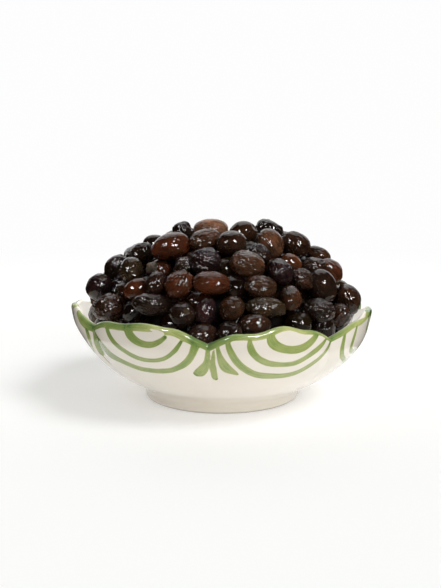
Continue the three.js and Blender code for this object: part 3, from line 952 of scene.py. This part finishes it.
def painted_glaze():
    """Creamy white glaze with green brush strokes under it."""
    s = Shader("painted_glaze")
    place = s.place()
    cream, pale = (0.785, 0.728, 0.633), (0.815, 0.772, 0.70)
    thin_glaze_and_shade, speck = (0.70, 0.62, 0.50), (0.45, 0.38, 0.28)
    white, foot_contact_shadow = (0.92, 0.89, 0.83), (0.30, 0.25, 0.20)
    cloud = s.noise(place, 26, 3)
    body = s.mix(s.ramp(cloud, 0.3, 0.7, 0.0, 0.4), cream, pale)
    height = s.split(place)[2]
    # Darker and warmer towards the foot: partly the thinner glaze there, partly painted shade.
    body = s.mix(s.ramp(height, 0.003, 0.016, 0.2, 0.0), body, thin_glaze_and_shade)
    specks = s.ramp(s.noise(place, 900, 2), 0.74, 0.8)
    body = s.mix(s.times(specks, 0.2), body, speck)
    # The inner wall is painted whiter: partly a whiter glaze, partly painted light on the wall that the
    # heap shades.
    body = s.mix(s.attribute("inside"), body, white)
    # The foot's lowest edge is painted dark in a bare-clay colour: painted contact shadow along the floor.
    body = s.mix(s.ramp(height, 0.0004, 0.0013, 0.75, 0.0), body, foot_contact_shadow)

    edge = s.attribute("stroke_edge")
    tone = s.attribute("stroke_tone")
    run = s.attribute("stroke_run")
    streaks = s.noise(s.vector(s.times(run, 0.09), s.times(edge, 1.3), 0.0), 1.0, 3)
    cloudy = s.noise(place, 160, 2)
    ragged = s.swung(edge, s.noise(place, 300, 2), 0.3)
    inked = s.ramp(ragged, 0.16, -0.14)
    inner = s.ramp(ragged, 0.0, -0.32)
    depth = s.swung(tone, streaks, 0.9)
    depth = s.swung(depth, cloudy, 0.5)
    light, sage = (0.45, 0.49, 0.165), (0.315, 0.37, 0.108)
    leaf, dark = (0.195, 0.285, 0.062), (0.085, 0.17, 0.033)
    thin_edge = (0.45, 0.44, 0.15)
    green = s.mix(s.ramp(depth, -0.1, 0.3), light, sage)
    green = s.mix(s.ramp(depth, 0.3, 0.65), green, leaf)
    green = s.mix(s.ramp(depth, 0.65, 1.0), green, dark)
    green = s.mix(inner, thin_edge, green)
    s.set(Base_Color=s.mix(s.times(inked, 0.97), body, green), Roughness=0.2)
    s.set(Coat_Weight=0.5, Coat_Roughness=0.06)
    ripple = s.noise(place, 55, 2)
    s.set(Normal=s.bump(ripple, 0.0006, 0.5))
    return s.material


def olive_skin(kind, grain):
    """Oily, finely wrinkled skin in each olive's own colour."""
    s = Shader(f"{kind}_skin")
    own = s.attribute("own", "Vector")
    skin = s.attribute("skin", "Color")
    blotch = s.noise(own, 0.14, 4, 0.6)
    flushed = s.mix(1.0, skin, (1.75, 1.35, 1.15), "MULTIPLY")
    tint = s.mix(s.ramp(blotch, 0.42, 0.7), skin, flushed)
    dusk = s.noise(s.scaled(own, (0.4, 0.15, 0.4)), 0.8, 4, 0.65)
    dusky = s.mix(1.0, tint, (0.30, 0.28, 0.28), "MULTIPLY")
    tint = s.mix(s.ramp(dusk, 0.45, 0.68, 0.0, 0.85), tint, dusky)
    stem = s.attribute("stem")
    dry_stem = (0.07, 0.05, 0.032)
    tint = s.mix(s.times(stem, 0.5), tint, dry_stem)
    wet = s.noise(own, 0.3, 3)
    s.set(Base_Color=tint, Roughness=s.ramp(wet, 0.5, 0.8, GLOSS, 2 * GLOSS), Specular_IOR_Level=0.5)
    lines = s.noise(s.scaled(own, (1.0, 0.45, 1.0)), 0.8, 2, 0.4)
    s.set(Normal=s.bump(lines, grain * MM, 0.8))
    return s.material


def painted_shade_inside():
    s = Shader("painted_shade_inside")
    shade = s.noise(s.place(), 180, 4)
    # Near-black, darker than any skin: painted shade for the olives deep in the heap.
    s.set(Base_Color=s.mix(shade, (0.004, 0.0025, 0.002), (0.010, 0.0055, 0.0035)), Roughness=0.75)
    s.set(Specular_IOR_Level=0.1)
    s.set(Normal=s.bump(shade, 0.001))
    return s.material


# ----------------------------------------
# Floor, light and camera

CAMERA_DISTANCE = 0.7583
CAMERA_RISE = math.radians(11.3)
AIM = Vector((-0.875, 0, 59.6)) * MM
LENS = 79.6
SENSOR_WIDTH = 36


def make_camera():
    data = bpy.data.cameras.new("camera")
    data.lens = LENS
    data.sensor_width = SENSOR_WIDTH
    data.clip_start = 0.01
    camera = bpy.data.objects.new("camera", data)
    camera.location = AIM + Vector((0, -math.cos(CAMERA_RISE), math.sin(CAMERA_RISE))) * CAMERA_DISTANCE
    camera.rotation_euler = (math.pi / 2 - CAMERA_RISE, 0, 0)
    bpy.context.scene.collection.objects.link(camera)
    bpy.context.scene.camera = camera


FLOOR_RADIUS = 0.55
FLOOR_SEEN = 0.12  # the glaze reflects the floor as far out as this
FLOOR_FADE = 0.22  # beyond this radius the floor fades into the backdrop
SWEEP_FLAT = 1.3
SWEEP_WALL = 2.2
SWEEP_HEIGHT = 1.8
SWEEP_STEPS = 8
STAGE_STEPS = 72
BACKDROP_LIGHT = 0.985
FLOOR_WHITE = 0.74
NEAR_GLOW = 0.315  # the floor's own glow near the dish


def spun_stage(name, points, material):
    """A round piece of the stage, from the points of its section."""
    bm = bmesh.new()
    spin_round(bm, [bm.verts.new((x, 0, z)) for x, z in points], STAGE_STEPS)
    piece = piece_from(bm, name, merge=1e-6)
    piece.data.materials.append(material)
    return piece


def pale_floor():
    """White floor that takes the shadow near the dish and glows evenly further out."""
    s = Shader("pale_floor")
    x, y, _ = s.split(s.place())
    radius = s.math("SQRT", s.math("ADD", s.times(x, x), s.times(y, y)))
    far = s.ramp(radius, FLOOR_FADE, FLOOR_RADIUS)
    s.set(Base_Color=s.mix(far, (FLOOR_WHITE, FLOOR_WHITE, FLOOR_WHITE), (0, 0, 0)), Roughness=0.9)
    s.set(Specular_IOR_Level=0.0, Emission_Color=(1, 1, 1, 1))
    s.set(Emission_Strength=s.mix_values(far, NEAR_GLOW, BACKDROP_LIGHT))
    return s.material


def glowing_backdrop():
    s = Shader("glowing_backdrop")
    s.set(Base_Color=(0, 0, 0, 1), Roughness=1.0, Specular_IOR_Level=0.0)
    s.set(Emission_Color=(1, 1, 1, 1), Emission_Strength=BACKDROP_LIGHT)
    return s.material


def make_stage():
    """A pale floor round the dish, and a backdrop that sweeps up all round it."""
    pale = pale_floor()
    spun_stage("floor", [(0, 0), (FLOOR_SEEN / 2, 0), (FLOOR_SEEN, 0)], pale)
    outer_floor = spun_stage("outer_floor", [(FLOOR_SEEN, 0), (FLOOR_FADE, 0), (FLOOR_RADIUS, 0)], pale)
    outer_floor.visible_glossy = False
    points = [(FLOOR_RADIUS, 0), (SWEEP_FLAT, 0)]
    reach = SWEEP_WALL - SWEEP_FLAT
    for i in range(1, SWEEP_STEPS + 1):
        turn = math.pi / 2 * i / SWEEP_STEPS
        points.append((SWEEP_FLAT + reach * math.sin(turn), reach * (1 - math.cos(turn))))
    points.append((SWEEP_WALL, SWEEP_HEIGHT))
    backdrop = spun_stage("backdrop", points, glowing_backdrop())
    # Only the camera sees it: the dish is lit by the lamps alone, so its front stays dark and wet.
    backdrop.visible_diffuse = False
    backdrop.visible_glossy = False
    backdrop.visible_shadow = False


# Lamps far away: where they stand seen from the dish, how bright they are, how wide they look in degrees,
# whether they light the surfaces, and whether they show in wet ones.
LAMPS = {
    "key": ((0.56, -0.30, 0.78), 1.45, 26, True, False),
    "front_fill": ((0.50, -0.80, 0.30), 1.02, 50, True, False),
    "right_spark": ((0.34, -0.84, 0.46), 2.2, 7, False, True),
    "left_spark": ((-0.56, -0.76, 0.38), 1.7, 7, False, True),
    "top": ((0.0, 0.45, 1.0), 1.15, 60, False, True),
}
# Small lamps over the middle of the bowl that light its walls from inside: only the bowl takes their light,
# and nothing stands in its way. Each has a place, the direction it shines away from, and a power.
WALL_LAMPS = {
    "left_wall": ((-0.035, 0.0, 0.075), (1, -0.1, 0.45), 0.048),
    "right_wall": ((0.035, 0.0, 0.075), (-1, -0.1, 0.45), 0.050),
}
WALL_LAMP_SIZE = 0.03
GLOW_PLACE = (0, 1.3, 0.6)
GLOW_SIZE = (2.6, 1.3)
GLOW_POWER = 11.0
AMBIENT = 0.34
AMBIENT_COLOUR = (1.0, 0.99, 0.955, 1)


def add_lamp(name, kind, power, back, place=(0, 0, 0)):
    """A lamp at a place that shines away from the direction called back."""
    data = bpy.data.lights.new(name, kind)
    data.energy = power
    lamp = bpy.data.objects.new(name, data)
    lamp.location = place
    lamp.rotation_euler = Vector(back).to_track_quat("Z", "Y").to_euler()
    bpy.context.scene.collection.objects.link(lamp)
    return lamp


def make_lights():
    for name, (back, power, width, lights, shines) in LAMPS.items():
        lamp = add_lamp(name, "SUN", power, back)
        lamp.data.angle = math.radians(width)
        lamp.visible_diffuse = lights
        lamp.visible_glossy = shines
    glazed = bpy.data.collections.new("glazed")
    for name, (place, back, power) in WALL_LAMPS.items():
        lamp = add_lamp(name, "AREA", power, back, place)
        lamp.data.size = WALL_LAMP_SIZE
        lamp.data.use_shadow = False
        lamp.visible_camera = False
        lamp.visible_glossy = False
        lamp.light_linking.receiver_collection = glazed
    lamp = add_lamp("glow_behind", "AREA", GLOW_POWER, GLOW_PLACE, GLOW_PLACE)
    lamp.data.shape = "RECTANGLE"
    lamp.data.size, lamp.data.size_y = GLOW_SIZE
    lamp.visible_camera = False
    world = bpy.data.worlds.new("studio")
    world.use_nodes = True
    background = world.node_tree.nodes["Background"]
    background.inputs["Color"].default_value = AMBIENT_COLOUR
    background.inputs["Strength"].default_value = AMBIENT
    bpy.context.scene.world = world
    world.cycles_visibility.glossy = False
    bpy.context.scene.view_settings.view_transform = "Standard"


# ----------------------------------------
# Everything together


def finish_piece(piece, node, material):
    piece.data.materials.clear()
    piece.data.materials.append(material)
    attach(piece, "root")
    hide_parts(node)


HEAP_SEED = 11
WRINKLE_SEED = 10  # the noise vectors that fold the skins would start from the clock without it


def make_heap():
    noise.seed_set(WRINKLE_SEED)
    rng = np.random.default_rng(HEAP_SEED)
    olives = hand_set_olives()
    for layer in LAYERS:
        olives += dropped_olives(rng, olives, layer)
    settle(olives)
    skins = {kind: olive_skin(kind, grain) for kind, (_, _, grain) in KINDS.items()}
    for kind, material in skins.items():
        shown = [o for o in olives if o.kind == kind and o.layer != "inner"]
        finish_piece(make_olives(f"{kind}_olives", shown, rng), "olives", material)
    inner = [o for o in olives if o.layer == "inner"]
    finish_piece(make_olives("inner_olives", inner, rng), "olives", skins["dented"])
    finish_piece(make_core(), "olives", painted_shade_inside())


make_camera()
make_stage()
make_lights()
bowl = make_bowl()
bpy.data.collections["glazed"].objects.link(bowl)
finish_piece(bowl, "bowl", painted_glaze())
make_heap()
